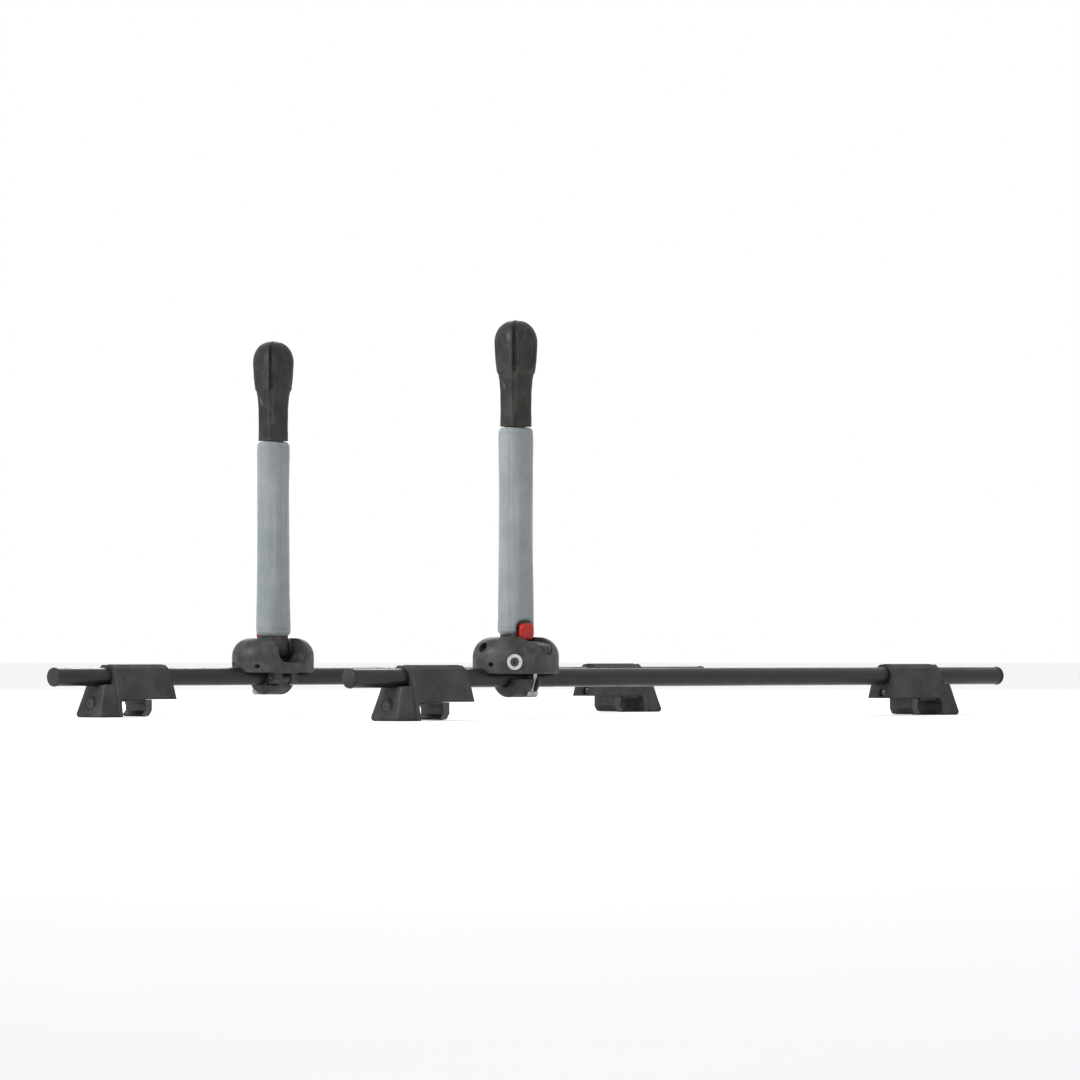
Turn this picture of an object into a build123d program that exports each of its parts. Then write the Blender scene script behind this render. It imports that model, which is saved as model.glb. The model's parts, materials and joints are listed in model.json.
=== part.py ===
from build123d import *
import os
from math import cos, hypot, radians, sin

os.makedirs("parts", exist_ok=True)

# A roof rack: two round crossbars, four rail-clamp towers and two padded posts that fold down.
# Millimetres, +Z up. X runs along the bars, -Y is the vehicle's front. Z = 0 is the towers' lowest face.

# ---- driving dimensions ----
BAR_R = 14.3
BAR_WALL = 2.4
BAR_LENGTH = 1473.0
BAR_SPACING = 680.0
BAR_Z = 64.0
CAP_THICK = 6.0
FIT = 0.05                      # radial clearance of a fit
GAP = 0.4                       # clearance between moving plastic parts

TOWER_X = {"near": -574.0, "far": 515.0}
BLOCK_HALF = 56.5               # half the length of the tall block that holds the bar
BLOCK_INNER = -66.0             # its inner end, at the channel's ceiling
TOWER_TOP = 19.0
SHOULDER_Z = -12.0              # top of the end block, and how far out it stands there and at its foot
SHOULDER_X = 80.0
FOOT_X = 95.0
FOOT_Z = -58.0
TOWER_PROFILE = ((9.0, TOWER_TOP), (16.5, 13.0), (21.0, 0.0), (23.5, SHOULDER_Z), (32.0, -BAR_Z))
PANEL_PROUD = 2.4               # the tall block's panels stand this far outside the end block
LEG_IN = 50.0                   # the leg's face in the rail channel
OVERHANG_Z = -36.0              # ceiling of the rail channel, from the bar's axis
PAD_THICK = 3.0
SCREW_Z = -27.0
SCREW_R = 3.0
TOWER_LOCK_Z = -42.0
TOWER_LOCK_R = 8.0
LOCK_FACE = 91.0                # where the lock's rim meets the sloping end face
JAW_FACE = -4.0
POCKET = (-26.0, 0.0)           # room for the jaw's nut block, along the bar

POST_X = {"front": -392.0, "rear": -275.0}
DOME_A = 75.0                   # half axes of the dome's oval, along and across the bar
DOME_B = 55.0
DOME_LOW = 6.0
DOME_TOP = 62.0
COVER_WALL = 4.0
CORE_HALF = 33.0                # half width of the saddle body between its side covers
LINER = 1.5
PIVOT_Z = 46.0
PIVOT_R = 5.0
HUB_R = 17.0
SLOT_HALF = 21.0
FOOT_HALF = 20.0
MOUTH_HALF = 32.0               # half width and floor of the mouth that takes the folded post
MOUTH_LOW = 22.5
PAD_GAP = 18.0                  # pad's lower end, from the pivot
PAD_TOP = 383.0                 # heights above the bar's axis
FOOT_TOP = 104.0                # top of the mast's foot inside the pad
TUBE_LOW = 90.0                 # the steel tube's ends
TUBE_HIGH = 418.0
NECK_TOP = 458.0
CROWN = 518.0                   # where the head is widest and its domed crown begins
HEAD_TOP = 546.0
PAD_SIZE = (60.0, 42.5)
NECK_SIZE = (45.0, 37.0)
HEAD_SIZE = (66.0, 60.0)
FLUTE_WIDTH = 6.0               # the two flutes that cross over the crown
FLUTE_DEPTH = 8.0
SCOOP_R = 40.0                  # the hollows in the head's four faces
SCOOP_DEPTH = 4.0
TUBE_SIZE = (30.0, 22.0)
TUBE_WALL = 2.0
TUBE_R = 6.0
TUBE_Y = 2.0                    # the tube sits behind the button, off the post's middle

CLAW_OUTER_R = 30.0
CLAW_X = (-24.0, 28.0)
CLAW_PIN = (24.0, -4.0)         # y, z of the claw's hinge, from the bar's axis
CLAW_PIN_R = 3.0
KNUCKLE_R = 7.0
KNUCKLE_HALF = 10.0
TRUNNION = (-16.0, -24.0)       # y, z of the trunnion, from the bar's axis
TRUNNION_R = 6.0
BOLT_X = 15.0
BOLT_R = 4.0
BOLT_TILT = 17.8                # the bolt leans outwards from the vertical, degrees
KNOB_SEAT = 66.0                # along the bolt, from the trunnion
KNOB_R = 16.5
KNOB_HEIGHT = 14.0

COVER_SCREWS = ((-17.0, 20.0), (30.0, 16.0))    # y, z of the side covers' screws
COVER_SCREW_R = 2.0
COVER_HEAD_R = 3.6
SCREW_SEAT = 52.0               # how far out the screws' heads sit, and where their tips end
SCREW_TIP = 22.0

LOCK_X = -46.0
LOCK_Z = 24.0
LOCK_R = 7.0
BEZEL_R = 12.0
BUTTON_WIDTH = 28.0
BUTTON_Z = (58.0, 83.0)
BUTTON_TRAVEL = 4.0
BUTTON_STEM = 3.0               # the stem stands in from the button's edges
SPRING_WIRE = 0.5
SPRING_R = 3.4


# ---- helpers ----
def box(x0, x1, y0, y1, z0, z1):
    """A box given by its limits."""
    return Pos((x0 + x1) / 2, (y0 + y1) / 2, (z0 + z1) / 2) * Box(x1 - x0, y1 - y0, z1 - z0)


def rod_x(radius, x0, x1, y=0.0, z=0.0):
    """A cylinder along X."""
    return Pos((x0 + x1) / 2, y, z) * Rot(0, 90, 0) * Cylinder(radius, x1 - x0)


def rod_y(radius, y0, y1, x=0.0, z=0.0):
    """A cylinder along Y."""
    return Pos(x, (y0 + y1) / 2, z) * Rot(90, 0, 0) * Cylinder(radius, y1 - y0)


def rod_between(radius, start, end):
    """A cylinder from one point to another."""
    axis = Vector(*end) - Vector(*start)
    return extrude(Plane(origin=start, z_dir=axis) * Circle(radius), axis.length)


def side_prism(points, y0, y1):
    """A closed outline in X and Z, extruded from y0 to y1."""
    outline = make_face(Polyline(*points, close=True))
    return extrude(Plane(origin=(0, y1, 0), x_dir=(1, 0, 0), z_dir=(0, -1, 0)) * outline, y1 - y0)


def end_prism(points, x0, x1):
    """A closed outline in Y and Z, extruded from x0 to x1."""
    outline = make_face(Polyline(*points, close=True))
    return extrude(Plane(origin=(x0, 0, 0), x_dir=(0, 1, 0), z_dir=(1, 0, 0)) * outline, x1 - x0)


def softened(solid, edges, radius):
    """The solid with the edges rounded, as it is where the kernel can't round them."""
    for size in (radius, radius * 0.6, radius * 0.3):
        try:
            result = fillet(edges, size)
            if result.is_valid and result.volume > 0:
                return result
        except Exception:
            continue
    return solid


def rounded(width, depth, radius):
    """A rounded rectangle for a section across the post."""
    return RectangleRounded(width, depth, radius)


def save(name, shape):
    """Write one node."""
    solids = shape.solids()
    result = solids[0] if len(solids) == 1 else Compound(children=list(solids))
    result.label = name
    export_step(result, f"parts/{name}.step")


# ---- crossbars ----
def crossbar():
    half = BAR_LENGTH / 2
    return rod_x(BAR_R, -half, half) - rod_x(BAR_R - BAR_WALL, -half - 1, half + 1)


def end_cap(side):
    """A plug with a domed flange, a little wider than the bar."""
    end = side * BAR_LENGTH / 2
    outer = rod_x(BAR_R + 0.8, *sorted((end + side * 0.02, end + side * CAP_THICK)))
    rim = outer.edges().filter_by(GeomType.CIRCLE).sort_by(Axis.X)[-1 if side > 0 else 0]
    outer = softened(outer, [rim], 3.5)
    plug = rod_x(BAR_R - BAR_WALL - FIT, *sorted((end + side * 1.0, end - side * 28.0)))
    hollow = rod_x(BAR_R - BAR_WALL - 2.5, *sorted((end - side * 2.0, end - side * 29.0)))
    return outer + plug - hollow


# ---- towers: x grows towards the bar's end, z = 0 on the bar's axis ----
def tower_profile(proud):
    """The outline across the bar, widened by a margin on both sides."""
    right = [(half + proud, z) for half, z in TOWER_PROFILE]
    return right + [(-half, z) for half, z in reversed(right)]


def tower_body():
    """Tall block round the bar, end block and leg outside the rail, overhang above it."""
    tall_side = [(-BLOCK_HALF, TOWER_TOP), (BLOCK_HALF, TOWER_TOP), (BLOCK_HALF, -BAR_Z), (LEG_IN, -BAR_Z),
                 (LEG_IN, OVERHANG_Z), (BLOCK_INNER, OVERHANG_Z)]
    tall = end_prism(tower_profile(PANEL_PROUD), -70, BLOCK_HALF) & side_prism(tall_side, -60, 60)
    tall = softened(tall, [e for e in tall.edges() if abs(e.center().Y) > 5 and e.length > 20], 2.4)
    end_side = [(40, SHOULDER_Z), (SHOULDER_X, SHOULDER_Z), (FOOT_X, FOOT_Z), (FOOT_X, -BAR_Z), (52, -BAR_Z),
                (52, -40)]
    block = end_prism(tower_profile(0), 20, 100) & side_prism(end_side, -60, 60)
    outer = [e for e in block.edges() if e.center().X > 60 and e.length > 5]
    block = softened(block, outer, 5.0)
    body = tall + block
    arch = body.edges().filter_by(Axis.Y).filter_by_position(Axis.X, LEG_IN - 0.5, LEG_IN + 0.5)
    body = softened(body, arch.filter_by_position(Axis.Z, OVERHANG_Z - 1, OVERHANG_Z + 1), 9.0)
    body -= rod_x(BAR_R + FIT, -100, 120)
    # recess for the strip along the top
    body -= box(-BLOCK_HALF - 2, BLOCK_HALF - 6, -7.1, 7.1, TOWER_TOP - 2.1, TOWER_TOP + 1)
    # pocket for the jaw's nut block, screw bore and head recess
    body -= box(*POCKET, -14.5, 14.5, OVERHANG_Z - 1, -18.5)
    body -= rod_x(SCREW_R + FIT, -62, 9, z=SCREW_Z)
    body -= rod_x(6.5, -70, -55, z=SCREW_Z)
    # lock pocket with a raised rim on the sloping end face
    body += rod_x(11.0, LOCK_FACE - 8, LOCK_FACE + 1.5, z=TOWER_LOCK_Z)
    body -= rod_x(8.6, LOCK_FACE + 0.3, LOCK_FACE + 2, z=TOWER_LOCK_Z)
    body -= rod_x(TOWER_LOCK_R + FIT, LOCK_FACE - 22, LOCK_FACE + 2, z=TOWER_LOCK_Z)
    # ribs between the overhang's pocket and its inner end, open below
    for x0, x1 in ((-53, -42), (-39, -29)):
        for y0, y1 in ((-22, -8), (8, 22)):
            body -= box(x0, x1, y0, y1, OVERHANG_Z - 1, -22)
    return body


def tower_cover():
    """The black strip let into the top of the tower."""
    strip = box(-BLOCK_HALF + 0.5, BLOCK_HALF - 6.1, -7, 7, TOWER_TOP - 2, TOWER_TOP + 0.8)
    strip = softened(strip, strip.edges().filter_by(Axis.Z), 3.0)
    return softened(strip, strip.edges().group_by(Axis.Z)[-1], 0.6)


def rail_pad():
    """Two rubber strips: one with grooves under the channel's ceiling, one down the leg."""
    near = POCKET[1] + 1.0
    under = OVERHANG_Z - PAD_THICK
    ceiling = box(near, LEG_IN - 10.5, -26, 26, under, OVERHANG_Z)
    for i in range(-2, 3):
        ceiling -= box(near - 1, LEG_IN - 10, i * 10 - 1, i * 10 + 1, under - 1, under + 1)
    leg = box(LEG_IN - PAD_THICK, LEG_IN, -26, 26, FOOT_Z, OVERHANG_Z - 9.5)
    return Compound(children=[ceiling, leg])


def jaw():
    """The inner jaw: a nut block in the overhang and a hooked plate below it."""
    top = OVERHANG_Z - GAP
    nut = box(-12, -2, -14, 14, top - 1, -19.5)
    plate = [(-18, top), (-2, top), (-2, -41), (JAW_FACE, -44), (JAW_FACE, -54), (2, -60), (-2, -63),
             (-11, -62), (-18, -52)]
    hook = side_prism(plate, -25, 25)
    hook = softened(hook, hook.edges().filter_by(Axis.Z), 2.0)
    return nut + hook - rod_x(SCREW_R + FIT, -40, 20, z=SCREW_Z)


def clamp_screw():
    """A socket-head screw under the bar, driven from the tower's inner end."""
    head = rod_x(5.0, -60.5, -55.05, z=SCREW_Z)
    head = softened(head, [head.edges().filter_by(GeomType.CIRCLE).sort_by(Axis.X)[0]], 0.8)
    socket = Plane(origin=(-61, 0, SCREW_Z), z_dir=(1, 0, 0)) * RegularPolygon(2.9, 6)
    return head + rod_x(SCREW_R, -55.2, 8, z=SCREW_Z) - extrude(socket, 3.6)


def tower_lock():
    """The lock core in the outer leg, with its keyway."""
    core = rod_x(TOWER_LOCK_R, LOCK_FACE - 21, LOCK_FACE + 1.0, z=TOWER_LOCK_Z)
    edge = core.edges().filter_by(GeomType.CIRCLE).sort_by(Axis.X)[-1]
    core = softened(core, [edge], 0.8)
    key = box(LOCK_FACE - 9, LOCK_FACE + 2, -0.7, 0.7, TOWER_LOCK_Z - 3.6, TOWER_LOCK_Z + 3.6)
    return core - key


# ---- posts: x along the bar, -y outwards, +y the way the post folds, z = 0 on the bar's axis ----
def tilt_dir():
    """The clamp bolt's upward direction in Y and Z."""
    return -sin(radians(BOLT_TILT)), cos(radians(BOLT_TILT))


def on_bolt(distance):
    """A point on the clamp bolt's axis, measured up from the trunnion."""
    dy, dz = tilt_dir()
    return (BOLT_X, TRUNNION[0] + dy * distance, TRUNNION[1] + dz * distance)


def on_lock(depth):
    """A point on the lock's axis; positive depth is into the dome from its oval face."""
    y = -DOME_B * (1 - (LOCK_X / DOME_A) ** 2) ** 0.5
    nx, ny = LOCK_X / DOME_A ** 2, y / DOME_B ** 2
    size = hypot(nx, ny)
    return (LOCK_X - nx / size * depth, y - ny / size * depth, LOCK_Z)


def dome(wall=0.0):
    """The whole oval dome before it is divided, or the space inside a wall of it."""
    low = DOME_LOW + 14 if wall else DOME_LOW
    oval = Pos(0, 0, low) * extrude(Ellipse(DOME_A - wall, DOME_B - wall), DOME_TOP - wall - low)
    oval = softened(oval, oval.edges().group_by(Axis.Z)[-1], 30.0 - wall)
    return softened(oval, oval.edges().group_by(Axis.Z)[0], 2.5)


def lock_pocket():
    return rod_between(BEZEL_R + FIT, on_lock(17), on_lock(-20))


def saddle_body(whole):
    """The dome's middle: bar groove, mast slot, mouth for the folded mast, hinge lugs, knob seat."""
    body = whole & box(-CORE_HALF, CORE_HALF, -80, 80, -20, 80)
    # hinge lugs reach down on the folding side
    near_bar = BAR_R + 3.4
    outline = [(near_bar, DOME_LOW + 4), (34, DOME_LOW + 4), (34, -6), (29, -12), (21, -12), (near_bar, -6)]
    lugs = end_prism(outline, *CLAW_X)
    lugs -= box(-KNUCKLE_HALF - GAP, KNUCKLE_HALF + GAP, 0, 50, -30, 4.5)
    body += lugs
    body -= rod_x(BAR_R + LINER + FIT, -50, 50)
    body -= rod_x(CLAW_PIN_R + FIT, -60, 60, *CLAW_PIN)
    # slot for the mast's foot, mouth for its padded part, ears left round the pivot
    slot = box(-SLOT_HALF, SLOT_HALF, 0, 70, PIVOT_Z - HUB_R - 1, 80)
    slot += box(-SLOT_HALF, SLOT_HALF, -HUB_R - 1, 1, PIVOT_Z, 80)
    slot += rod_x(HUB_R + 1, -SLOT_HALF, SLOT_HALF, 0, PIVOT_Z)
    opening = Plane(origin=(0, 0, MOUTH_LOW + 50), x_dir=(1, 0, 0), z_dir=(0, 1, 0))
    mouth = extrude(opening * rounded(2 * MOUTH_HALF, 100, 15), 80)
    mouth -= box(-80, 80, -1, 20, 0, PIVOT_Z) - rod_x(31.0, -80, 80, 0, PIVOT_Z)
    mouth -= rod_x(PAD_GAP - 1.2, -60, 60, 0, PIVOT_Z)
    body -= slot
    body -= mouth
    body -= rod_x(PIVOT_R + FIT, -60, 60, 0, PIVOT_Z)
    # scoop below the release button
    body -= box(-17, 17, -60, -HUB_R, BUTTON_Z[0] - 2.5, 80)
    # clamp bolt's bore and the knob's seat
    body -= rod_between(BOLT_R + 0.6, on_bolt(0), on_bolt(90))
    body -= rod_between(KNOB_R + 1.2, on_bolt(KNOB_SEAT), on_bolt(110))
    body -= lock_pocket()
    for y, z in COVER_SCREWS:
        for side in (-1, 1):
            body -= rod_x(COVER_SCREW_R + FIT, *sorted((side * (SCREW_TIP - 0.5), side * 60)), y, z)
    return body


def side_covers(whole):
    """The dome's two lobes, hollow behind, with screw and pin pockets."""
    result = []
    hollow = dome(COVER_WALL)
    for side in (-1, 1):
        inner, outer = CORE_HALF + 0.3, DOME_A + 5
        lobe = whole & box(*sorted((side * inner, side * outer)), -80, 80, 0, 80)
        core = hollow & box(*sorted((side * (inner - 1), side * (inner + 24))), -40, 40, 0, 80)
        core -= rod_x(9.0, -90, 90, 0, PIVOT_Z)
        for y, z in COVER_SCREWS:
            core -= rod_x(6.0, -90, 90, y, z)
        if side < 0:
            core -= rod_between(BEZEL_R + 3, on_lock(30), on_lock(-20))
        lobe -= core
        lobe -= rod_x(BAR_R + FIT, -90, 90)
        lobe -= rod_x(PIVOT_R + FIT, *sorted((side * 30, side * 50)), 0, PIVOT_Z)
        if side < 0:
            lobe -= rod_x(PIVOT_R + FIT, -60, -30, 0, PIVOT_Z)
            lobe -= rod_x(7.5, -90, -55, 0, PIVOT_Z)
            lobe -= lock_pocket()
        for y, z in COVER_SCREWS:
            lobe -= rod_x(COVER_SCREW_R + FIT, *sorted((side * 30, side * 90)), y, z)
            lobe -= rod_x(COVER_HEAD_R + 0.2, *sorted((side * SCREW_SEAT, side * 90)), y, z)
        result.append(lobe)
    return Compound(children=[s for lobe in result for s in lobe.solids()])


def saddle_liner():
    """A rubber half sleeve between the saddle and the bar."""
    ring = rod_x(BAR_R + LINER, -32, 32) - rod_x(BAR_R + FIT, -40, 40)
    return ring & box(-40, 40, -20, 20, 6.5, 20)


def base_screws():
    """Four pan-head screws that hold the side covers to the saddle body."""
    screws = []
    for side in (-1, 1):
        for y, z in COVER_SCREWS:
            head = rod_x(COVER_HEAD_R, *sorted((side * (SCREW_SEAT + 0.05), side * (SCREW_SEAT + 2.5))), y, z)
            head = softened(head, head.edges().group_by(Axis.X)[0 if side < 0 else -1], 1.0)
            socket = rod_x(1.5, *sorted((side * (SCREW_SEAT + 1.2), side * 60)), y, z)
            shank = rod_x(COVER_SCREW_R, *sorted((side * SCREW_TIP, side * (SCREW_SEAT + 0.5))), y, z)
            screws.append(head + shank - socket)
    return Compound(children=[s for screw in screws for s in screw.solids()])


def claw():
    """The hinged lower claw: a bowl under the bar with a fork for the clamp bolt."""
    body = rod_x(CLAW_OUTER_R, *CLAW_X) & box(-60, 60, -40, 40, -40, -2.0)
    body = softened(body, body.edges().filter_by(GeomType.CIRCLE), 7.0)
    # room for the lugs beside the knuckle
    for x0, x1 in ((-60, -KNUCKLE_HALF), (KNUCKLE_HALF, 60)):
        body -= box(x0, x1, 15, 50, -14.5, 10)
    body -= box(-60, 60, CLAW_PIN[0], 50, -40, 10)
    body += rod_x(KNUCKLE_R, -KNUCKLE_HALF, KNUCKLE_HALF, *CLAW_PIN)
    body -= rod_x(BAR_R + 0.35, -60, 60)
    body -= rod_x(CLAW_PIN_R + FIT, -60, 60, *CLAW_PIN)
    # fork: a slot for the bolt and a seat for the trunnion, both open outwards and below
    down, out = 40.0, 30.0
    arm = Plane(origin=(BOLT_X, *TRUNNION), x_dir=(1, 0, 0), z_dir=(0, *tilt_dir()))
    body -= arm * (Pos(0, -out / 2 + TRUNNION_R, 0) * Box(2 * BOLT_R + 1.6, out + 3.0, 2 * down))
    seat_top = TRUNNION_R + 0.4
    body -= arm * (Pos(0, -out / 2 + TRUNNION_R + 1.0, seat_top - down / 2) * Box(23.5, out, down))
    return body


def claw_pin():
    return rod_x(CLAW_PIN_R, CLAW_X[0] + 1.0, CLAW_X[1] - 1.0, *CLAW_PIN)


def clamp_bolt():
    """An M8 bolt with a barrel trunnion across its foot."""
    trunnion = rod_x(TRUNNION_R, BOLT_X - 11, BOLT_X + 11, *TRUNNION)
    trunnion = softened(trunnion, trunnion.edges().filter_by(GeomType.CIRCLE), 0.8)
    return trunnion + rod_between(BOLT_R, on_bolt(0), on_bolt(KNOB_SEAT + 9.5))


def clamp_knob():
    """A domed, scalloped knob with a blind threaded bore."""
    knob = Pos(0, 0, KNOB_HEIGHT / 2) * Cylinder(KNOB_R, KNOB_HEIGHT)
    knob = softened(knob, knob.edges().group_by(Axis.Z)[-1], 6.0)
    for i in range(8):
        knob -= Rot(0, 0, i * 45) * Pos(KNOB_R + 2.2, 0, KNOB_HEIGHT / 2) * Cylinder(4.4, KNOB_HEIGHT + 2)
    knob -= Pos(0, 0, 5) * Cylinder(BOLT_R + FIT, 12)
    place = Plane(origin=on_bolt(KNOB_SEAT + 0.1), x_dir=(1, 0, 0), z_dir=(0, *tilt_dir()))
    return place * knob


def lock_bezel():
    """The bright ring round the lock."""
    ring = rod_between(BEZEL_R, on_lock(16.5), on_lock(-1.2))
    ring -= rod_between(LOCK_R + FIT, on_lock(30), on_lock(-10))
    return ring


def lock_core():
    """The lock's turning core, with its keyway across it."""
    core = rod_between(LOCK_R, on_lock(16), on_lock(-0.4))
    toward = Vector(*on_lock(-1)) - Vector(*on_lock(0))
    face = Plane(origin=on_lock(-0.4), z_dir=toward, x_dir=(0, 0, 1))
    return core - face * Box(7.0, 1.4, 12.0)


def pivot_pin():
    """The mast's hinge pin with its head in the left cover."""
    head = rod_x(7.2, -58.5, -55.1, 0, PIVOT_Z)
    head = softened(head, [head.edges().filter_by(GeomType.CIRCLE).sort_by(Axis.X)[0]], 1.5)
    return head + rod_x(PIVOT_R, -55.2, 49, 0, PIVOT_Z)


def tube_space(margin, low, high):
    """The tube's outline grown by a margin all round, between two heights."""
    width, depth = TUBE_SIZE
    outline = rounded(width + 2 * margin, depth + 2 * margin, TUBE_R + margin)
    return Pos(0, TUBE_Y, low) * extrude(outline, high - low)


def mast_foot():
    """Hub and neck, with the socket for the tube and the well for the button."""
    hub = rod_x(HUB_R, -FOOT_HALF, FOOT_HALF, 0, PIVOT_Z)
    hub += box(-FOOT_HALF, FOOT_HALF, -HUB_R, HUB_R, PIVOT_Z, FOOT_TOP)
    hub = softened(hub, hub.edges().filter_by(Axis.Z), 5.0)
    hub = softened(hub, hub.edges().group_by(Axis.Z)[-1], 3.0)
    hub -= rod_x(PIVOT_R + FIT, -60, 60, 0, PIVOT_Z)
    hub -= tube_space(FIT, TUBE_LOW, FOOT_TOP + 20)
    inset = BUTTON_STEM - GAP
    half = BUTTON_WIDTH / 2 - inset
    hub -= box(-half, half, -30, -2.0, BUTTON_Z[0] + inset, BUTTON_Z[1] - inset)
    return hub


def mast_tube():
    """The post's steel core."""
    return tube_space(0, TUBE_LOW, TUBE_HIGH) - tube_space(-TUBE_WALL, TUBE_LOW, TUBE_HIGH)


def section(size, z, radius):
    return Pos(0, 0, z) * rounded(*size, radius)


def foam_pad():
    """The sleeve round the post, with a notch for the button."""
    low = PIVOT_Z + PAD_GAP + 0.3
    wide = (PAD_SIZE[0] + 1.5, PAD_SIZE[1] + 1.0)
    narrow = (PAD_SIZE[0] - 3.5, PAD_SIZE[1] - 2.5)
    pad = loft([section(wide, low, 18), section(narrow, PAD_TOP, 17)])
    pad = softened(pad, pad.edges().group_by(Axis.Z)[-1], 4.0)
    pad = softened(pad, pad.edges().group_by(Axis.Z)[0], 2.0)
    pad -= tube_space(0.1, 0, HEAD_TOP)
    pad -= box(-FOOT_HALF - 0.3, FOOT_HALF + 0.3, -HUB_R - 0.3, HUB_R + 0.3, 0, FOOT_TOP + 0.5)
    pad -= box(-17.5, 17.5, -40, 0, 0, BUTTON_Z[1] + 4)
    return pad


def mast_head():
    """The club on top: neck, flaring bulb, domed crown with two flutes crossing on it, plug in the tube."""
    wide = (NECK_SIZE[0] + 3, NECK_SIZE[1] + 3)
    neck = loft([section(NECK_SIZE, PAD_TOP + 0.3, 15), section(wide, NECK_TOP, 17)])
    bulb = loft([section(wide, NECK_TOP, 17), section(HEAD_SIZE, CROWN, 28)])
    crown = Pos(0, 0, CROWN) * extrude(rounded(*HEAD_SIZE, 28), HEAD_TOP - CROWN)
    crown = softened(crown, crown.edges().group_by(Axis.Z)[-1], 26.0)
    head = neck + bulb + crown
    # the flutes lie on both diagonals, up the bulb and over the crown, round a solid core
    width, depth = HEAD_SIZE
    inner = extrude(rounded(width - 2 * FLUTE_DEPTH, depth - 2 * FLUTE_DEPTH, 20), HEAD_TOP - FLUTE_DEPTH)
    inner = softened(inner, inner.edges().group_by(Axis.Z)[-1], 18.0)
    for turn in (45, 135):
        flute = Rot(0, 0, turn) * box(-60, 60, -FLUTE_WIDTH / 2, FLUTE_WIDTH / 2, NECK_TOP + 10, HEAD_TOP + 5)
        head -= flute - inner
    # shallow scoops in the four faces of the bulb
    for turn, face in ((0, width / 2), (90, depth / 2), (180, width / 2), (270, depth / 2)):
        scoop = Pos(face + SCOOP_R - SCOOP_DEPTH, 0, NECK_TOP + 34) * Rot(0, -6, 0) * Cylinder(SCOOP_R, 62)
        head -= Rot(0, 0, turn) * scoop
    bore = tube_space(0.1, PAD_TOP - 5, TUBE_HIGH + 0.3)
    plug = tube_space(-TUBE_WALL - 0.1, TUBE_HIGH - 50, TUBE_HIGH + 40)
    return head - bore + plug


def release_button():
    """The red button, and the latch nose below it inside the foot."""
    half = BUTTON_WIDTH / 2
    face = box(-half, half, -HUB_R - 9.5, -HUB_R - BUTTON_TRAVEL - 0.3, *BUTTON_Z)
    face = softened(face, face.edges().filter_by(Axis.Y), 8.0)
    face = softened(face, face.edges().group_by(Axis.Y)[0], 3.0)
    half -= BUTTON_STEM
    stem = box(-half, half, -HUB_R - 5, -8.0, BUTTON_Z[0] + BUTTON_STEM, BUTTON_Z[1] - BUTTON_STEM)
    return face + stem - rod_y(SPRING_R + 1.2, -16, 0, z=sum(BUTTON_Z) / 2)


def button_spring():
    """The return spring, drawn at its pressed length."""
    mid = sum(BUTTON_Z) / 2
    wire = Helix(pitch=1.9, height=7.0, radius=SPRING_R)
    start = Plane(origin=wire @ 0, z_dir=wire % 0)
    coil = sweep(start * Circle(SPRING_WIRE), path=wire)
    return Pos(0, -2.6, mid) * Rot(90, 0, 0) * coil


# ---- assembly ----
def build():
    bar = crossbar()
    caps = Compound(children=[end_cap(-1), end_cap(1)])
    tower = {"body": tower_body(), "cover": tower_cover(), "jaw": jaw(),
             "screw": clamp_screw(), "lock_core": tower_lock()}
    pad = rail_pad()
    whole = dome()
    post = {"saddle_body": saddle_body(whole), "side_covers": side_covers(whole),
            "saddle_liner": saddle_liner(), "base_screws": base_screws(), "claw": claw(),
            "claw_pin": claw_pin(), "clamp_bolt": clamp_bolt(), "clamp_knob": clamp_knob(),
            "lock_bezel": lock_bezel(), "lock_core": lock_core(), "pivot_pin": pivot_pin(),
            "mast_foot": mast_foot(), "mast_tube": mast_tube(), "foam_pad": foam_pad(),
            "mast_head": mast_head(), "release_button": release_button(),
            "button_spring": button_spring()}
    for row, y, turn in (("front", -BAR_SPACING / 2, 0), ("rear", BAR_SPACING / 2, 180)):
        lift = Pos(0, y, BAR_Z)
        save(f"crossbar_{row}", lift * bar)
        save(f"end_caps_{row}", lift * caps)
        pads = []
        for end, x in TOWER_X.items():
            place = Pos(x, y, BAR_Z) * Rot(0, 0, 180 if end == "near" else 0)
            pads += (place * pad).solids()
            for name, solid in tower.items():
                save(f"tower_{name}_{row}_{end}", place * solid)
        save(f"rail_pads_{row}", Compound(children=pads))
        place = Pos(POST_X[row], y, BAR_Z) * Rot(0, 0, turn)
        for name, solid in post.items():
            save(f"{name}_{row}", place * solid)


build()
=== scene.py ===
import json
from math import cos, exp, pi, radians, sin

import bmesh
import bpy
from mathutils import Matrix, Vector, noise


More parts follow.
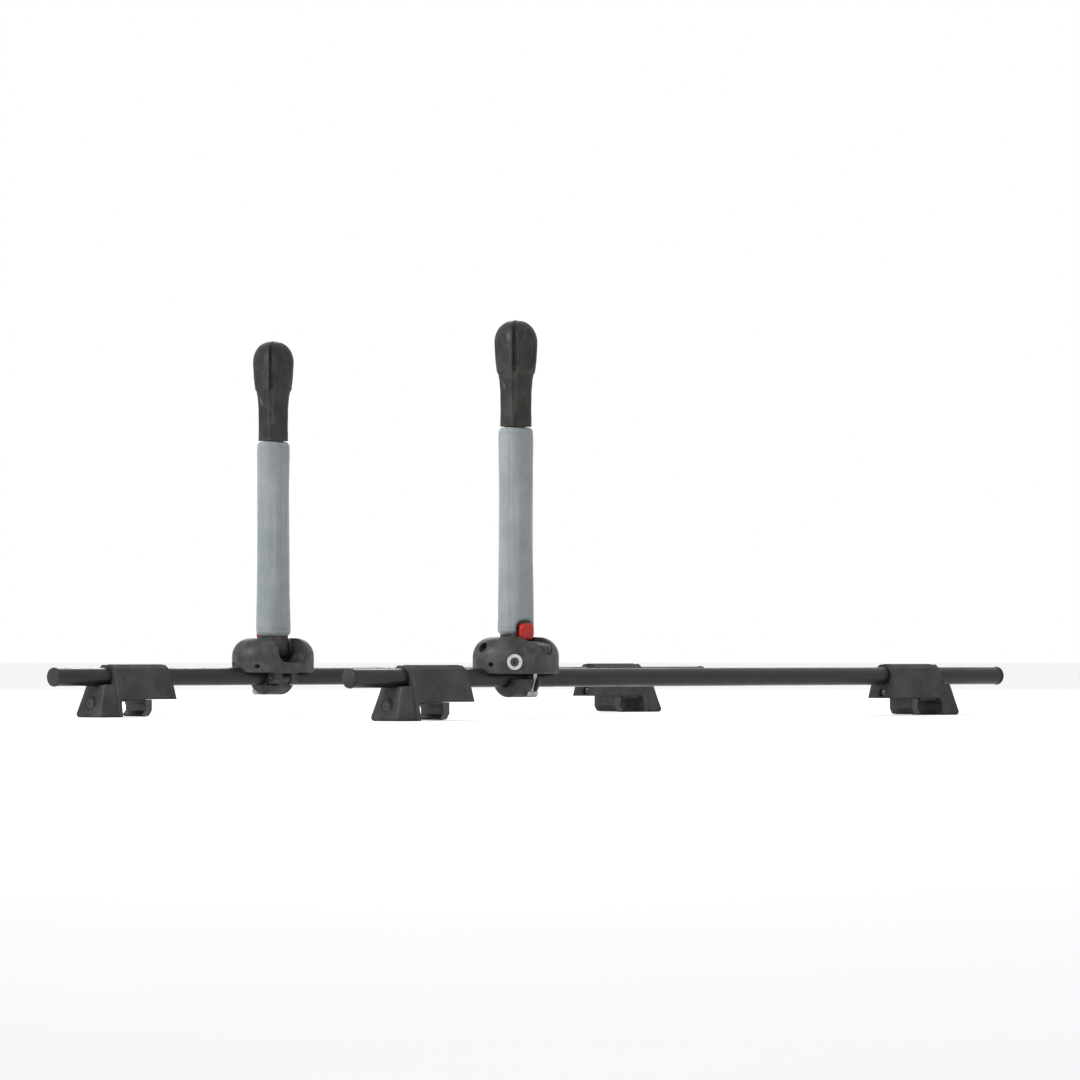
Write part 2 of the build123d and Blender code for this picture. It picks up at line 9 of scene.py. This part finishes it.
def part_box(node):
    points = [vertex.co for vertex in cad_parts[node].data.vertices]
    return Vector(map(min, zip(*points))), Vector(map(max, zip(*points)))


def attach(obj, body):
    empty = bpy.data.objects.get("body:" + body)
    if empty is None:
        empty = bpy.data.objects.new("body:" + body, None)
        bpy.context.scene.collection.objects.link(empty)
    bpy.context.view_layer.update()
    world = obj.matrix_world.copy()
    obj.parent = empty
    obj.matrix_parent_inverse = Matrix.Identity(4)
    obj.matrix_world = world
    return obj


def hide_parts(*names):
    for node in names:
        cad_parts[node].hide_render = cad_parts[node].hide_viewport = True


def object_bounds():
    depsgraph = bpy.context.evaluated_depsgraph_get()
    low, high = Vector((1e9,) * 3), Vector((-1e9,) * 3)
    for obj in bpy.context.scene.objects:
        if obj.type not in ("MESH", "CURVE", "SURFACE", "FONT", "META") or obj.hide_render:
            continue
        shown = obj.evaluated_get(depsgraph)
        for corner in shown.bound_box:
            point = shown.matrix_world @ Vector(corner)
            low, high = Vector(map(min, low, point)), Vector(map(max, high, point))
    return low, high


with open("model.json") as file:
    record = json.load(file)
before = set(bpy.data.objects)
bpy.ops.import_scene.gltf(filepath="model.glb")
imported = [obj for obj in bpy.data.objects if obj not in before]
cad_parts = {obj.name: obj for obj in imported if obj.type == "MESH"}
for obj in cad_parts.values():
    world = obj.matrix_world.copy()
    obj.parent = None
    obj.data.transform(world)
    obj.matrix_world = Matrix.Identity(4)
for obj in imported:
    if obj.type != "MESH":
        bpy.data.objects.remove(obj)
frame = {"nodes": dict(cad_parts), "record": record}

cad_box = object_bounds()
scene = bpy.context.scene
MM = 0.001
ROWS = {"front": -1, "rear": 1}          # which way each post's outer face looks along Y


# ---------------------------------------------------------------- node helpers
class Nodes:
    """A small builder for one material's node tree."""

    def __init__(self, name):
        self.material = bpy.data.materials.new(name)
        self.material.use_nodes = True
        self.tree = self.material.node_tree
        self.tree.nodes.clear()
        self.out = self.add("ShaderNodeOutputMaterial")
        self.shader = self.add("ShaderNodeBsdfPrincipled")
        self.link(self.shader.outputs[0], self.out.inputs["Surface"])
        self.coords = self.add("ShaderNodeTexCoord").outputs["Object"]

    def add(self, kind, **settings):
        node = self.tree.nodes.new(kind)
        for key, value in settings.items():
            setattr(node, key, value)
        return node

    def link(self, a, b):
        self.tree.links.new(a, b)

    def set(self, node, **values):
        for key, value in values.items():
            node.inputs[key.replace("_", " ")].default_value = value
        return node

    def stretched(self, scale):
        """Object coordinates in metres, scaled along each axis."""
        mapping = self.add("ShaderNodeMapping")
        self.link(self.coords, mapping.inputs["Vector"])
        mapping.inputs["Scale"].default_value = scale
        return mapping.outputs["Vector"]

    def noise(self, scale, detail=4.0, rough=0.55, coords=None):
        node = self.set(self.add("ShaderNodeTexNoise"), Scale=scale, Detail=detail, Roughness=rough)
        self.link(coords or self.coords, node.inputs["Vector"])
        return node.outputs["Fac"]

    def cells(self, scale, feature="F1", coords=None):
        node = self.set(self.add("ShaderNodeTexVoronoi", feature=feature), Scale=scale)
        self.link(coords or self.coords, node.inputs["Vector"])
        return node.outputs["Distance"]

    def wave(self, scale, direction="Z", distortion=0.0, coords=None):
        node = self.add("ShaderNodeTexWave", wave_type="BANDS", bands_direction=direction)
        self.set(node, Scale=scale, Distortion=distortion)
        self.link(coords or self.coords, node.inputs["Vector"])
        return node.outputs["Fac"]

    def ramp(self, value, low, high, a=0.0, b=1.0):
        node = self.add("ShaderNodeMapRange", interpolation_type="SMOOTHSTEP")
        self.set(node, From_Min=low, From_Max=high)
        self.link(value, node.inputs["Value"])
        self.set(node, To_Min=a, To_Max=b)
        return node.outputs["Result"]

    def math(self, operation, a, b=0.0):
        node = self.add("ShaderNodeMath", operation=operation)
        for socket, value in zip(node.inputs, (a, b)):
            if isinstance(value, (int, float)):
                socket.default_value = value
            else:
                self.link(value, socket)
        return node.outputs[0]

    def mix(self, factor, a, b):
        node = self.add("ShaderNodeMix", data_type="RGBA")
        self.link(factor, node.inputs["Factor"])
        for socket, value in ((node.inputs[6], a), (node.inputs[7], b)):
            if isinstance(value, tuple):
                socket.default_value = (*value, 1.0)
            else:
                self.link(value, socket)
        return node.outputs[2]

    def edges(self, radius):
        """1 on edges rounder than the radius, 0 on flat faces, with the softened normal."""
        bevel = self.add("ShaderNodeBevel", samples=6)
        bevel.inputs["Radius"].default_value = radius
        normal = self.add("ShaderNodeNewGeometry").outputs["Normal"]
        dot = self.add("ShaderNodeVectorMath", operation="DOT_PRODUCT")
        self.link(bevel.outputs[0], dot.inputs[0])
        self.link(normal, dot.inputs[1])
        return self.ramp(dot.outputs["Value"], 0.985, 0.86), bevel.outputs[0]

    def bump(self, height, strength, distance, normal=None):
        node = self.set(self.add("ShaderNodeBump"), Strength=strength, Distance=distance)
        self.link(height, node.inputs["Height"])
        if normal is not None:
            self.link(normal, node.inputs["Normal"])
        return node.outputs["Normal"]

    def finish(self, colour, roughness, normal=None, metallic=0.0, **more):
        self.link(colour, self.shader.inputs["Base Color"])
        self.link(roughness, self.shader.inputs["Roughness"])
        if normal is not None:
            self.link(normal, self.shader.inputs["Normal"])
        self.shader.inputs["Metallic"].default_value = metallic
        for key, value in more.items():
            self.shader.inputs[key.replace("_", " ")].default_value = value
        return self.material


# ---------------------------------------------------------------- materials
def moulded(name, base, light, rough, grain=900.0, depth=0.00012, mottle=26.0, wear=0.5):
    """Textured injection-moulded plastic: mottled colour, pebbled grain, worn edges."""
    n = Nodes(name)
    edge, soft = n.edges(0.0011)
    patches = n.ramp(n.noise(mottle, 7.0, 0.62), 0.36, 0.68)
    colour = n.mix(patches, base, light)
    specks = n.ramp(n.noise(420.0, 3.0), 0.60, 0.74, 0.0, 0.35)
    colour = n.mix(specks, colour, tuple(min(1.0, c * 1.9 + 0.012) for c in light))
    scuffs = n.ramp(n.noise(60.0, 8.0, 0.7, n.stretched((1.0, 1.0, 0.25))), 0.60, 0.78, 0.0, 0.35)
    colour = n.mix(scuffs, colour, tuple(c * 1.6 + 0.01 for c in light))
    worn = n.math("MULTIPLY", edge, n.ramp(n.noise(75.0, 5.0), 0.38, 0.66, 0.0, wear))
    colour = n.mix(worn, colour, tuple(c * 1.9 + 0.01 for c in light))
    height = n.math("ADD", n.math("MULTIPLY", n.cells(grain), 0.8), n.noise(grain * 1.7, 2.0))
    normal = n.bump(height, 0.55, depth, soft)
    normal = n.bump(n.noise(38.0, 3.0), 0.12, 0.0006, normal)
    roughness = n.ramp(n.noise(140.0, 6.0), 0.3, 0.72, rough - 0.09, rough + 0.09)
    return n.finish(colour, roughness, normal, Specular_IOR_Level=0.22)


def coated_bar(name):
    """Satin black coating over steel: faint orange peel, dust and scratches along the bar."""
    n = Nodes(name)
    edge, soft = n.edges(0.0008)
    dust = n.ramp(n.noise(9.0, 8.0, 0.68, n.stretched((0.5, 1.6, 1.6))), 0.42, 0.76)
    colour = n.mix(dust, (0.007, 0.007, 0.0075), (0.014, 0.0138, 0.0135))
    lines = n.noise(46.0, 3.0, 0.6, n.stretched((0.35, 9.0, 9.0)))
    scratches = n.ramp(lines, 0.66, 0.74, 0.0, 0.4)
    colour = n.mix(scratches, colour, (0.05, 0.05, 0.05))
    normal = n.bump(n.noise(520.0, 3.0), 0.35, 0.00008, soft)
    normal = n.bump(lines, 0.08, 0.0001, normal)
    roughness = n.ramp(n.noise(60.0, 6.0, 0.6, n.stretched((0.4, 1.0, 1.0))), 0.3, 0.7, 0.27, 0.43)
    return n.finish(colour, roughness, normal, Specular_IOR_Level=0.25, Coat_Weight=0.06, Coat_Roughness=0.3)


def rubber(name, base=(0.012, 0.012, 0.012)):
    n = Nodes(name)
    edge, soft = n.edges(0.0008)
    colour = n.mix(n.ramp(n.noise(40.0, 7.0), 0.35, 0.75), base, tuple(c * 2.3 for c in base))
    colour = n.mix(n.math("MULTIPLY", edge, 0.4), colour, tuple(c * 4 for c in base))
    normal = n.bump(n.noise(1100.0, 2.0), 0.4, 0.0001, soft)
    return n.finish(colour, n.ramp(n.noise(90.0, 4.0), 0.3, 0.7, 0.62, 0.82), normal)


def steel(name, base=(0.30, 0.30, 0.31), rough=0.34):
    """Turned, plated steel with tool marks and a little tarnish."""
    n = Nodes(name)
    edge, soft = n.edges(0.0004)
    tarnish = n.ramp(n.noise(120.0, 7.0, 0.65), 0.45, 0.78)
    colour = n.mix(tarnish, base, tuple(c * 0.62 for c in base))
    rings = n.noise(300.0, 2.0, 0.5, n.stretched((9.0, 1.0, 1.0)))
    normal = n.bump(rings, 0.12, 0.00005, soft)
    roughness = n.ramp(rings, 0.3, 0.7, rough - 0.07, rough + 0.12)
    return n.finish(colour, roughness, normal, metallic=1.0)


def dark_metal(name, base=(0.02, 0.02, 0.021)):
    """Black-coated metal, scratched bright at its edges."""
    n = Nodes(name)
    edge, soft = n.edges(0.0006)
    colour = n.mix(n.ramp(n.noise(70.0, 6.0), 0.4, 0.7), base, tuple(c * 1.9 for c in base))
    worn = n.math("MULTIPLY", edge, n.ramp(n.noise(160.0, 5.0), 0.42, 0.62, 0.0, 0.75))
    colour = n.mix(worn, colour, (0.24, 0.24, 0.24))
    normal = n.bump(n.noise(700.0, 3.0), 0.35, 0.00009, soft)
    return n.finish(colour, n.ramp(n.noise(110.0, 5.0), 0.3, 0.7, 0.34, 0.5), normal)


def red_button(name):
    n = Nodes(name)
    edge, soft = n.edges(0.0012)
    colour = n.mix(n.ramp(n.noise(90.0, 6.0), 0.35, 0.7), (0.26, 0.008, 0.005), (0.36, 0.016, 0.012))
    worn = n.math("MULTIPLY", edge, n.ramp(n.noise(220.0, 4.0), 0.4, 0.65, 0.0, 0.5))
    colour = n.mix(worn, colour, (0.50, 0.07, 0.05))
    normal = n.bump(n.noise(900.0, 2.0), 0.25, 0.00008, soft)
    return n.finish(colour, n.ramp(n.noise(130.0, 5.0), 0.3, 0.7, 0.3, 0.45), normal, Specular_IOR_Level=0.25)


def pad_fabric(name):
    """Blue-grey coated weave over foam: fine threads, faint blotches, sheen, patches of dust."""
    n = Nodes(name)
    blotch = n.ramp(n.noise(17.0, 7.0, 0.6), 0.34, 0.70)
    colour = n.mix(blotch, (0.112, 0.130, 0.138), (0.158, 0.176, 0.184))
    heather = n.ramp(n.noise(1500.0, 2.0, 0.6, n.stretched((1.0, 1.0, 0.45))), 0.45, 0.66, 0.0, 0.55)
    colour = n.mix(heather, colour, (0.205, 0.225, 0.233))
    dirt = n.ramp(n.noise(44.0, 8.0, 0.72), 0.60, 0.80, 0.0, 0.45)
    colour = n.mix(dirt, colour, (0.12, 0.134, 0.145))
    rows = n.wave(420.0, "Z", 0.6)
    columns = n.wave(420.0, "DIAGONAL", 0.6, n.stretched((1.0, 1.0, 0.0)))
    weave = n.math("MULTIPLY", rows, columns)
    normal = n.bump(weave, 0.5, 0.00022)
    normal = n.bump(n.noise(70.0, 5.0, 0.6, n.stretched((1.0, 1.0, 0.5))), 0.35, 0.0012, normal)
    roughness = n.ramp(n.noise(200.0, 4.0), 0.3, 0.7, 0.62, 0.8)
    return n.finish(colour, roughness, normal, Sheen_Weight=0.35, Sheen_Roughness=0.5)


def paint_all():
    """A material for every carried-over CAD node, by the record's slots."""
    made = {
        "bar_coat": coated_bar("bar_coat"),
        "cap_plastic": moulded("cap_plastic", (0.010, 0.010, 0.0105), (0.021, 0.021, 0.021), 0.5, 1100.0),
        "tower_plastic": moulded("tower_plastic", (0.018, 0.018, 0.0185), (0.034, 0.034, 0.0345), 0.52,
                                 800.0),
        "strip_plastic": moulded("strip_plastic", (0.009, 0.009, 0.009), (0.018, 0.018, 0.018), 0.42, 1200.0),
        "rubber": rubber("rubber"),
        "jaw_metal": dark_metal("jaw_metal"),
        "steel": steel("steel"),
        "bright_ring": steel("bright_ring", (0.50, 0.50, 0.50), 0.24),
        "lock_metal": dark_metal("lock_metal", (0.010, 0.010, 0.010)),
        "base_plastic": moulded("base_plastic", (0.021, 0.0205, 0.0198), (0.046, 0.0445, 0.0425), 0.5, 700.0,
                                0.00016, 48.0, 0.45),
        "tube_metal": dark_metal("tube_metal"),
        "pad_cover": pad_fabric("pad_cover"),
        "head_plastic": moulded("head_plastic", (0.009, 0.0087, 0.0078), (0.023, 0.0222, 0.0196), 0.46, 650.0,
                                0.00016, 40.0, 0.45),
        "button_red": red_button("button_red"),
    }
    for part in frame["record"]["subparts"]:
        node = frame["nodes"][part["node"]]
        node.data.materials.clear()
        node.data.materials.append(made[part["material_slot"]])
    return made


# ---------------------------------------------------------------- mesh helpers
def to_object(name, bm, material, smooth=True):
    mesh = bpy.data.meshes.new(name)
    bmesh.ops.recalc_face_normals(bm, faces=bm.faces)
    bm.to_mesh(mesh)
    bm.free()
    obj = bpy.data.objects.new(name, mesh)
    scene.collection.objects.link(obj)
    mesh.materials.append(material)
    for face in mesh.polygons:
        face.use_smooth = smooth
    return obj


def skin(rings, top_point=None, bottom_point=None):
    """A closed surface through rings of points, ended by a fan at each point given."""
    bm = bmesh.new()
    rows = [[bm.verts.new(p) for p in ring] for ring in rings]
    count = len(rows[0])
    for low, high in zip(rows, rows[1:]):
        for i in range(count):
            j = (i + 1) % count
            bm.faces.new((low[i], low[j], high[j], high[i]))
    for row, point in ((rows[0], bottom_point), (rows[-1], top_point)):
        tip = bm.verts.new(point)
        for i in range(count):
            bm.faces.new((row[i], row[(i + 1) % count], tip))
    return bm


def apply_all(obj):
    """Turn the object's modifiers into mesh."""
    graph = bpy.context.evaluated_depsgraph_get()
    mesh = bpy.data.meshes.new_from_object(obj.evaluated_get(graph))
    obj.modifiers.clear()
    old = obj.data
    obj.data = mesh
    bpy.data.meshes.remove(old)
    for face in obj.data.polygons:
        face.use_smooth = True


def cut(obj, cutter):
    modifier = obj.modifiers.new("cut", "BOOLEAN")
    modifier.object = cutter
    modifier.operation = "DIFFERENCE"
    modifier.solver = "EXACT"
    apply_all(obj)
    bpy.data.objects.remove(cutter)


def superellipse(a, b, power, angle):
    """A point on |x/a|^p + |y/b|^p = 1 in the direction of the angle."""
    c, s = cos(angle), sin(angle)
    size = (abs(c / a) ** power + abs(s / b) ** power) ** (-1.0 / power)
    return c * size, s * size


def smooth_step(low, high, x):
    t = max(0.0, min(1.0, (x - low) / (high - low)))
    return t * t * (3.0 - 2.0 * t)


# ---------------------------------------------------------------- foam pads
PAD_MARGIN = 0.6 * MM                    # the sleeve stands this far inside its box
PAD_END = 0.3 * MM
PAD_SQUARENESS = 3.1
PAD_TAPER = 0.055                        # narrower at the top by this share
SHOULDER = 8 * MM                        # height of the rounded shoulders, and how far they draw in
SHOULDER_TUCK = 0.17
PAD_STEPS, PAD_AROUND = 96, 72
NOTCH_SIDE = 3.4 * MM                    # room round the button: beside, above, and behind for its travel
NOTCH_TOP = 3.6 * MM
NOTCH_BEHIND = 5.5 * MM
NOTCH_ROUND = 15 * MM
VOXEL = 3.2 * MM
AIR_STEPS = 14
AIR_LIMIT = 1.6 * MM                     # the pressure moves no point further than this
HEM_IN = 11 * MM


def pad_cover(row, outer, material):
    """The sleeve: a crowned rounded form, wider below, notched round the button."""
    low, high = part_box(f"foam_pad_{row}")
    centre = (low + high) / 2
    length = high.z - low.z
    half_x, half_y = (high.x - low.x) / 2 - PAD_MARGIN, (high.y - low.y) / 2 - PAD_MARGIN
    rings = []
    for k in range(PAD_STEPS + 1):
        t = k / PAD_STEPS
        z = low.z + PAD_END + t * (length - 2 * PAD_END)
        end = min(z - low.z, high.z - z)
        tuck = 1.0 - SHOULDER_TUCK * (1.0 - smooth_step(0.0, SHOULDER, end)) ** 1.5
        taper = 1.0 - PAD_TAPER * t
        a, b = half_x * taper * tuck, half_y * taper * tuck
        ring = []
        for i in range(PAD_AROUND):
            x, y = superellipse(a, b, PAD_SQUARENESS, 2 * pi * i / PAD_AROUND)
            ring.append(Vector((centre.x + x, centre.y + y, z)))
        rings.append(ring)
    top = Vector((centre.x, centre.y, high.z - PAD_END))
    bottom = Vector((centre.x, centre.y, low.z + PAD_END))
    bm = skin(rings, top, bottom)
    pad = to_object(f"pad_cover_{row}", bm, material)
    button_low, button_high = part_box(f"release_button_{row}")
    notch = notch_cutter(button_low, button_high, low, outer, material)
    cut(pad, notch)
    stuff(pad, low, high)
    crease(pad, low, high, centre, outer)
    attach(pad, f"mast_{row}")
    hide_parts(f"foam_pad_{row}")
    return pad


def notch_cutter(button_low, button_high, pad_low, outer, material):
    """A tall rounded block round the button, open below."""
    centre = (button_low + button_high) / 2
    half = (button_high.x - button_low.x) / 2 + NOTCH_SIDE
    top = button_high.z + NOTCH_TOP
    outline = []
    for i in range(17):
        angle = pi * i / 16
        x, z = superellipse(half, NOTCH_ROUND, 3.2, angle)
        outline.append((centre.x + x, top - NOTCH_ROUND + z))
    outline.append((centre.x - half, pad_low.z - 20 * MM))
    outline.append((centre.x + half, pad_low.z - 20 * MM))
    bm = bmesh.new()
    y_in = (button_high.y if outer < 0 else button_low.y) - outer * NOTCH_BEHIND
    y_out = y_in + outer * 80 * MM
    near = [bm.verts.new((x, y_in, z)) for x, z in outline]
    away = [bm.verts.new((x, y_out, z)) for x, z in outline]
    bm.faces.new(near)
    bm.faces.new(away[::-1])
    for i in range(len(outline)):
        j = (i + 1) % len(outline)
        bm.faces.new((near[i], near[j], away[j], away[i]))
    return to_object("notch", bm, material, False)


def stuff(pad, low, high):
    """Remesh the sleeve and let cloth pressure round its faces and edges a little."""
    remesh = pad.modifiers.new("even", "REMESH")
    remesh.mode = "VOXEL"
    remesh.voxel_size = VOXEL
    apply_all(pad)
    start = [v.co.copy() for v in pad.data.vertices]
    cloth = pad.modifiers.new("air", "CLOTH")
    cloth.settings.quality = 6
    cloth.settings.mass = 0.25
    cloth.settings.tension_stiffness = 30
    cloth.settings.compression_stiffness = 30
    cloth.settings.shear_stiffness = 12
    cloth.settings.bending_stiffness = 1.2
    cloth.settings.use_pressure = True
    cloth.settings.uniform_pressure_force = 4.0
    cloth.settings.effector_weights.gravity = 0.0
    cloth.collision_settings.use_collision = False
    for step in range(1, AIR_STEPS + 1):
        scene.frame_set(step)
    apply_all(pad)
    for vertex, origin in zip(pad.data.vertices, start):
        move = vertex.co - origin
        if move.length > AIR_LIMIT:
            move *= AIR_LIMIT / move.length
        place = origin + move
        vertex.co = Vector(min(max(p, a), b) for p, a, b in zip(place, low, high))
    scene.frame_set(1)
    finer = pad.modifiers.new("finer", "SUBSURF")
    finer.levels = finer.render_levels = 1
    apply_all(pad)


def crease(pad, low, high, centre, outer):
    """Seam down the inner face, hems at both ends, shallow lengthwise wrinkles."""
    pad.data.update()
    normals = [v.normal.copy() for v in pad.data.vertices]
    for vertex, normal in zip(pad.data.vertices, normals):
        p = vertex.co
        seam = exp(-((p.x - centre.x) / (1.3 * MM)) ** 2) if (p.y - centre.y) * outer < 0 else 0.0
        hem = sum(exp(-((p.z - z) / (1.4 * MM)) ** 2) for z in (low.z + HEM_IN, high.z - HEM_IN))
        wrinkle = noise.noise(Vector((p.x * 46, p.y * 46, p.z * 11 + outer * 7)))
        pucker = noise.noise(Vector((p.x * 120, p.y * 120, p.z * 60)))
        near_end = max(exp(-(p.z - low.z) / 0.045), exp(-(high.z - p.z) / 0.045))
        corner = abs(abs(p.x - centre.x) - 0.80 * (centre.x - low.x))
        piping = exp(-(corner / (1.5 * MM)) ** 2) if (p.y - centre.y) * outer > 0 else 0.0
        depth = 0.9 * MM * seam + 0.75 * MM * hem + 0.6 * MM * piping
        depth += 0.5 * MM * (1 + wrinkle) + 0.3 * MM * pucker * near_end
        vertex.co = p - normal * depth


# ---------------------------------------------------------------- mast heads
# height above the pad in mm, half width along X, half depth along Y, squareness
HEAD_PROFILE = ((0.0, 22.4, 18.6, 3.6), (26.0, 22.4, 18.6, 3.6), (52.0, 22.8, 19.0, 3.4),
                (70.0, 24.4, 20.8, 3.0), (79.0, 26.0, 22.6, 2.8), (84.0, 28.6, 25.4, 2.6),
                (104.0, 31.2, 28.2, 2.4), (128.0, 32.7, 29.7, 2.3))
BODY_STEPS, CROWN_STEPS, HEAD_AROUND = 128, 44, 240
CROWN_ROUND = 0.86                       # below 1 the crown is fuller than a half ellipse
BULB_FOOT = (80.0, 88.0)                 # the grooves start here, in mm above the pad
GROOVE, NECK_GROOVE = 5.4, 1.0           # depths and heights in mm
RIB, NECK_RIB = 0.5, 0.3
PANEL = 2.3
PANEL_TOP = 146.0
PANEL_TIPS = {"side": 56.0, "front": 84.0}


def ribbed_head(row, outer, material):
    """The club on top of the post: neck, bulb, domed crown, a groove up each corner between two ribs."""
    low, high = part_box(f"mast_head_{row}")
    centre = (low + high) / 2
    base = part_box(f"foam_pad_{row}")[1].z + 0.3 * MM
    tall = (high.z - base) / MM
    rings = []
    for k in range(BODY_STEPS + 1):
        height, a, b, power = body_size(k / BODY_STEPS)
        rings.append(head_ring(centre, base, height, a, b, power, 1.0))
    start, a0, b0, power = HEAD_PROFILE[-1]
    for k in range(1, CROWN_STEPS):
        lift = k / CROWN_STEPS * pi / 2
        height = start + (tall - start) * sin(lift)
        shrink = cos(lift) ** CROWN_ROUND
        rings.append(head_ring(centre, base, height, a0 * shrink, b0 * shrink, power, shrink))
    top = Vector((centre.x, centre.y, high.z - 1.4 * MM))
    head = to_object(f"ribbed_head_{row}", skin(rings, top, Vector((centre.x, centre.y, base))), material)
    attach(head, f"mast_{row}")
    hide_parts(f"mast_head_{row}")
    return head


def body_size(t):
    """Height, half sizes and squareness part of the way up the profile."""
    height = t * HEAD_PROFILE[-1][0]
    for below, above in zip(HEAD_PROFILE, HEAD_PROFILE[1:]):
        if height <= above[0]:
            break
    u = smooth_step(below[0], above[0], height) * 0.5 + 0.5 * (height - below[0]) / (above[0] - below[0])
    return (height, *(p + (q - p) * u for p, q in zip(below[1:], above[1:])))


def head_ring(centre, base, height, a, b, power, shrink):
    """One level of the head, with its grooves, ribs and face panels."""
    ring = []
    for i in range(HEAD_AROUND):
        x, y = superellipse(a, b, power, 2 * pi * i / HEAD_AROUND)
        size = (x * x + y * y) ** 0.5
        sunk = 1.0 - relief(x, y, a, b, height, shrink) / max(size, 1e-6)
        ring.append(Vector((centre.x + x * sunk * MM, centre.y + y * sunk * MM, base + height * MM)))
    return ring


def relief(x, y, a, b, height, shrink):
    """How deep the surface is sunk, in mm: corner grooves, ribs beside them, a panel in each face."""
    off = abs(abs(x) - abs(y) * a / b) * 0.707
    groove = 1.0 - smooth_step(2.4, 3.9, off)
    rib = smooth_step(3.9, 4.6, off) * (1.0 - smooth_step(8.0, 10.2, off))
    reach = smooth_step(*BULB_FOOT, height)
    fade = smooth_step(0.10, 0.45, shrink)
    neck = smooth_step(8.0, 40.0, height) * (1.0 - reach)
    depth = groove * (reach * GROOVE + neck * NECK_GROOVE) * fade
    depth -= rib * (reach * RIB + neck * NECK_RIB) * fade
    face = "side" if abs(x) / a > abs(y) / b else "front"
    across = abs(y) / b if face == "side" else abs(x) / a
    tip = PANEL_TIPS[face]
    span = (height - (tip + PANEL_TOP) / 2) / ((PANEL_TOP - tip) / 2)
    oval = across * across / 0.22 + abs(span) ** 2.4
    return depth + PANEL * (1.0 - smooth_step(0.70, 1.05, oval)) * fade


# ---------------------------------------------------------------- studio
LIGHT_AIM = (0.0, 0.0, 0.25)
# name, place in metres, size, power in watts
LIGHTS = (("key", (-4.6, -0.2, 2.4), 1.4, 230.0),
          ("fill", (1.5, -4.5, 2.2), 3.0, 20.0),
          ("rim", (3.0, 4.0, 3.0), 2.5, 80.0))


def floor():
    bm = bmesh.new()
    bmesh.ops.create_grid(bm, x_segments=1, y_segments=1, size=40.0)
    n = Nodes("studio_floor")
    colour = n.mix(n.noise(1.5, 3.0), (0.88, 0.88, 0.88), (0.90, 0.90, 0.90))
    plane = to_object("studio_floor", bm, n.finish(colour, n.ramp(n.noise(3.0), 0.3, 0.7, 0.75, 0.85)), False)


def area_light(name, place, size, power):
    data = bpy.data.lights.new(name, "AREA")
    data.shape = "DISK"
    data.size = size
    data.energy = power
    lamp = bpy.data.objects.new(name, data)
    scene.collection.objects.link(lamp)
    lamp.location = place
    lamp.rotation_mode = "QUATERNION"
    lamp.rotation_quaternion = (Vector(LIGHT_AIM) - Vector(place)).to_track_quat("-Z", "Y")


def studio():
    world = bpy.data.worlds.new("pale_studio")
    scene.world = world
    world.use_nodes = True
    back = world.node_tree.nodes["Background"]
    back.inputs["Color"].default_value = (1.0, 1.0, 1.0, 1.0)
    back.inputs["Strength"].default_value = 1.0
    for light in LIGHTS:
        area_light(*light)
    scene.view_settings.view_transform = "Standard"


def camera():
    """Seen from the vehicle's front right, level with the roof, from almost nine metres."""
    low, high = cad_box
    centre = (low + high) / 2
    azimuth, distance, eye = radians(-45.0), 8.9, 0.10
    data = bpy.data.cameras.new("view")
    data.lens = 183.0
    data.sensor_width = 36.0
    data.clip_end = 100.0
    cam = bpy.data.objects.new("view", data)
    scene.collection.objects.link(cam)
    cam.location = (centre.x + sin(azimuth) * distance, centre.y - cos(azimuth) * distance, eye)
    aim = Vector((centre.x, centre.y, centre.z - 0.02))
    cam.rotation_mode = "QUATERNION"
    cam.rotation_quaternion = (aim - cam.location).to_track_quat("-Z", "Y")
    scene.camera = cam


# ---------------------------------------------------------------- build
camera()
studio()
floor()
finishes = paint_all()
for row, outer in ROWS.items():
    pad_cover(row, outer, finishes["pad_cover"])
    ribbed_head(row, outer, finishes["head_plastic"])
